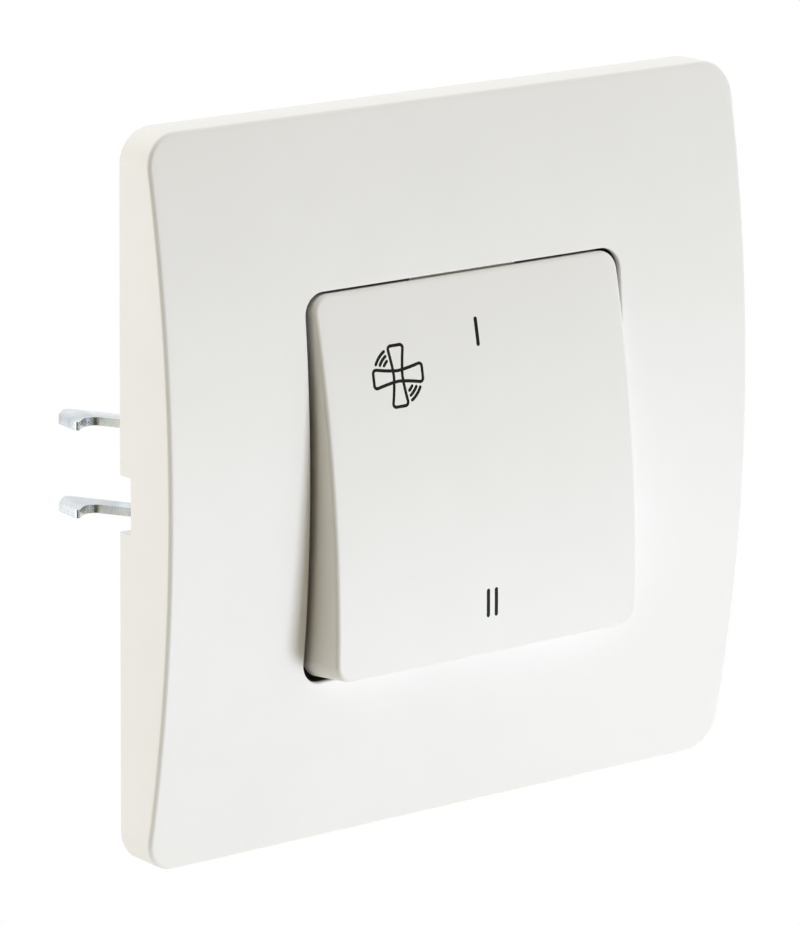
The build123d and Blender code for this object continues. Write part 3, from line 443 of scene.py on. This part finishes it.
def stroke(line, width, round_ends):
    """A low ridge of ink along a line of points (x, z) on the key's face.

    Across the line a point lies at v times half the width, for v from -1 to 1, and stands the ink's
    thickness times (1 - v^4) over the face, less the little that the ink sinks into it. Near a round
    end half the width shrinks as a circle does.
    """
    step = np.gradient(line, axis=0)
    step /= np.linalg.norm(step, axis=1, keepdims=True)
    across = np.stack((-step[:, 1], step[:, 0]), -1)
    half = np.full(len(line), width / 2)
    if round_ends:
        lengths = np.concatenate(((0,), np.cumsum(np.linalg.norm(np.diff(line, axis=0), axis=1))))
        end_gap = np.minimum(lengths, lengths[-1] - lengths) / half
        half = half * np.sqrt(1 - (1 - np.minimum(end_gap, 1)) ** 2)
    v = np.linspace(-1, 1, ink_width_steps)
    points = line[:, None] + across[:, None] * (half[:, None] * v)[..., None]
    face = ball_height(points[..., 1], key_face_height, key_crown_radius, 0)
    height = face + skin_thickness + ink_thickness * (1 - v**4) - ink_sink
    return placed(np.concatenate((points, height[..., None]), -1), key_pivot, key_up, key_out)


def end_spaced(count):
    """Numbers from 0 to 1, closer together near both ends: (1 - cos(pi t)) / 2."""
    return (1 - np.cos(np.pi * np.linspace(0, 1, count))) / 2


def bar(x, rise):
    """One upright bar of a position mark: a straight stroke about a middle point."""
    along = (0.5 - end_spaced(ink_end_steps)) * position_line_length
    return stroke(np.stack((x + 0 * along, rise + along), -1), position_line_width, True)


def fan_blades(upright):
    """Two opposite blades as one closed stroke: a rounded rectangle drawn in at its waist.

    At a distance s from the middle its half width is multiplied by
    (waist + (blade - waist) (s / reach)^power) / blade.
    """
    shape, _ = rounded_outline(fan_blade_half, fan_reach, fan_blade_corner, np.append(turns, 4.0) % 4)
    share = (np.abs(shape[:, 1]) / fan_reach) ** fan_waist_power
    width = (fan_waist_half + (fan_blade_half - fan_waist_half) * share) / fan_blade_half
    blades = np.stack((shape[:, 0] * width, shape[:, 1]), -1)
    return stroke(fan_place + (blades if upright else blades[:, ::-1]), fan_line_width, False)


def fan_arc(radius, half_angle, middle):
    """A stroke along a circle about the fan's middle, half an angle to each side of its own middle."""
    angle = np.radians(middle + half_angle * (2 * end_spaced(ink_end_steps) - 1))
    line = fan_place + radius * np.stack((np.cos(angle), np.sin(angle)), -1)
    return stroke(line, fan_line_width, True)


position_one_mark = new_piece(
    "position_one_mark", [bar(print_shift, position_one_rise)], False, print_ink, "rocker")
position_two_mark = new_piece("position_two_mark", [
    bar(print_shift + side * position_two_spacing / 2, position_two_rise) for side in (-1, 1)
], False, print_ink, "rocker")
fan_mark = new_piece("fan_mark", [fan_blades(True), fan_blades(False)] + [
    fan_arc(radius, half_angle, middle)
    for radius, half_angle in zip(fan_arc_radii, fan_arc_half_angles)
    for middle in fan_arc_middles
], False, print_ink, "rocker")


# Stage, lights and camera

floor_drop = 0.42
floor_half = 0.5
floor_roughness = 0.9
floor_mesh = bpy.data.meshes.new("floor")
floor_corners = [(side * floor_half, rear * floor_half, -floor_drop)
                 for side, rear in ((-1, -1), (1, -1), (1, 1), (-1, 1))]
floor_mesh.from_pydata(floor_corners, [], [(0, 1, 2, 3)])
floor = bpy.data.objects.new("floor", floor_mesh)
bpy.context.scene.collection.objects.link(floor)
paper, _, paper_shader, _ = new_material("pale_paper")
paper_shader.inputs["Base Color"].default_value = colour("#F4F4F4")
paper_shader.inputs["Roughness"].default_value = floor_roughness
floor_mesh.materials.append(paper)

# The room is a warm white that falls off to the right by its slope, with a dim warm part to the left of
# the object's front: share is 1 in the heart of that part and 0 past its rim. Reflections see the white
# backdrop outside it.
room_bright = 0.86
room_dim = 0.07
room_slope = (-0.3, 0.0, 0.0)
room_white = colour("#FFFBEF")
warm_white = colour("#FFE79A")
cool_white = colour("#EDF4FF")
plain_white = colour("#FFFFFF")
dim_way = (-0.575, -0.806, 0.139)
dim_rim = 0.3
dim_heart = 0.92

world = bpy.data.worlds.new("studio")
bpy.context.scene.world = world
world.use_nodes = True
sky = world.node_tree
sky.nodes.clear()
path = add_node(sky, "ShaderNodeLightPath")
way = add_node(sky, "ShaderNodeTexCoord").outputs["Generated"]
facing = add_node(sky, "ShaderNodeVectorMath", {"operation": "DOT_PRODUCT"}, {0: way}, {1: dim_way})
share = add_node(sky, "ShaderNodeMapRange", {"interpolation_type": "SMOOTHSTEP"},
                 {"Value": facing.outputs["Value"]}, {"From Min": dim_rim, "From Max": dim_heart})
tint = add_node(sky, "ShaderNodeMix", {"data_type": "RGBA"}, {"Factor": share.outputs["Result"]},
                {"A": room_white, "B": warm_white})
slope = add_node(sky, "ShaderNodeVectorMath", {"operation": "DOT_PRODUCT"}, {0: way}, {1: room_slope})
bright = add_node(sky, "ShaderNodeMath", {"operation": "ADD"}, {0: slope.outputs["Value"]},
                  {1: room_bright})
power = add_node(sky, "ShaderNodeMapRange",
                 links={"Value": share.outputs["Result"], "To Min": bright.outputs[0]},
                 values={"To Max": room_dim})
clear = add_node(sky, "ShaderNodeMath", {"operation": "SUBTRACT"}, {1: share.outputs["Result"]}, {0: 1.0})
mirrored = add_node(sky, "ShaderNodeMath", {"operation": "MULTIPLY"},
                    {0: path.outputs["Is Glossy Ray"], 1: clear.outputs[0]})
through = add_node(sky, "ShaderNodeMath", {"operation": "MAXIMUM"},
                   {0: path.outputs["Is Transmission Ray"], 1: mirrored.outputs[0]})
seen = add_node(sky, "ShaderNodeMath", {"operation": "MAXIMUM"},
                {0: path.outputs["Is Camera Ray"], 1: through.outputs[0]})
room = add_node(sky, "ShaderNodeBackground",
                links={"Color": tint.outputs["Result"], "Strength": power.outputs["Result"]})
backdrop = add_node(sky, "ShaderNodeBackground", values={"Color": plain_white, "Strength": 1.0})
both = add_node(sky, "ShaderNodeMixShader",
                links={0: seen.outputs[0], 1: room.outputs[0], 2: backdrop.outputs[0]})
add_node(sky, "ShaderNodeOutputWorld", links={"Surface": both.outputs[0]})


def softbox(name, place, side, watts):
    """A square area lamp at a place, facing the object, cool enough to balance the warm room."""
    lamp = bpy.data.lights.new(name, "AREA")
    lamp.shape = "SQUARE"
    lamp.size = side
    lamp.energy = watts
    lamp.color = cool_white[:3]
    holder = bpy.data.objects.new(name, lamp)
    bpy.context.scene.collection.objects.link(holder)
    turn = (-Vector(place)).to_track_quat("-Z", "Y").to_matrix().to_4x4()
    holder.matrix_world = Matrix.Translation(place) @ turn


softbox("right_light", place=(0.42, -0.75, -0.28), side=0.3, watts=5.2)
softbox("left_light", place=(-0.78, 0.5, -0.05), side=0.5, watts=2.9)
softbox("top_light", place=(0.1, 0.12, 0.8), side=0.6, watts=2.9)

# The camera: a long lens, to the left of the object and a little above it, in degrees, metres and
# millimetres of lens
camera_left = 38.248
camera_rise = 14.193
camera_roll = 0.586
camera_distance = 0.63335
camera_aim = Vector((-0.002696, 0.0, -0.001192))
camera_lens = 213.58
camera_sensor = 36.0
camera_near = 0.01
camera_far = 20.0

left = radians(camera_left)
rise = radians(camera_rise)
roll = radians(camera_roll)
back = Vector((-sin(left) * cos(rise), -cos(left) * cos(rise), sin(rise)))
level_right = (-back).cross(Vector((0, 0, 1))).normalized()
level_up = level_right.cross(-back)
right = level_right * cos(roll) + level_up * sin(roll)
up = level_up * cos(roll) - level_right * sin(roll)
lens = bpy.data.cameras.new("camera")
lens.lens = camera_lens
lens.sensor_width = camera_sensor
lens.sensor_fit = "AUTO"
lens.clip_start = camera_near
lens.clip_end = camera_far
camera = bpy.data.objects.new("camera", lens)
bpy.context.scene.collection.objects.link(camera)
camera_turn = Matrix((right, up, back)).transposed().to_4x4()
camera.matrix_world = Matrix.Translation(camera_aim + back * camera_distance) @ camera_turn
bpy.context.scene.camera = camera
bpy.context.scene.view_settings.view_transform = "Standard"
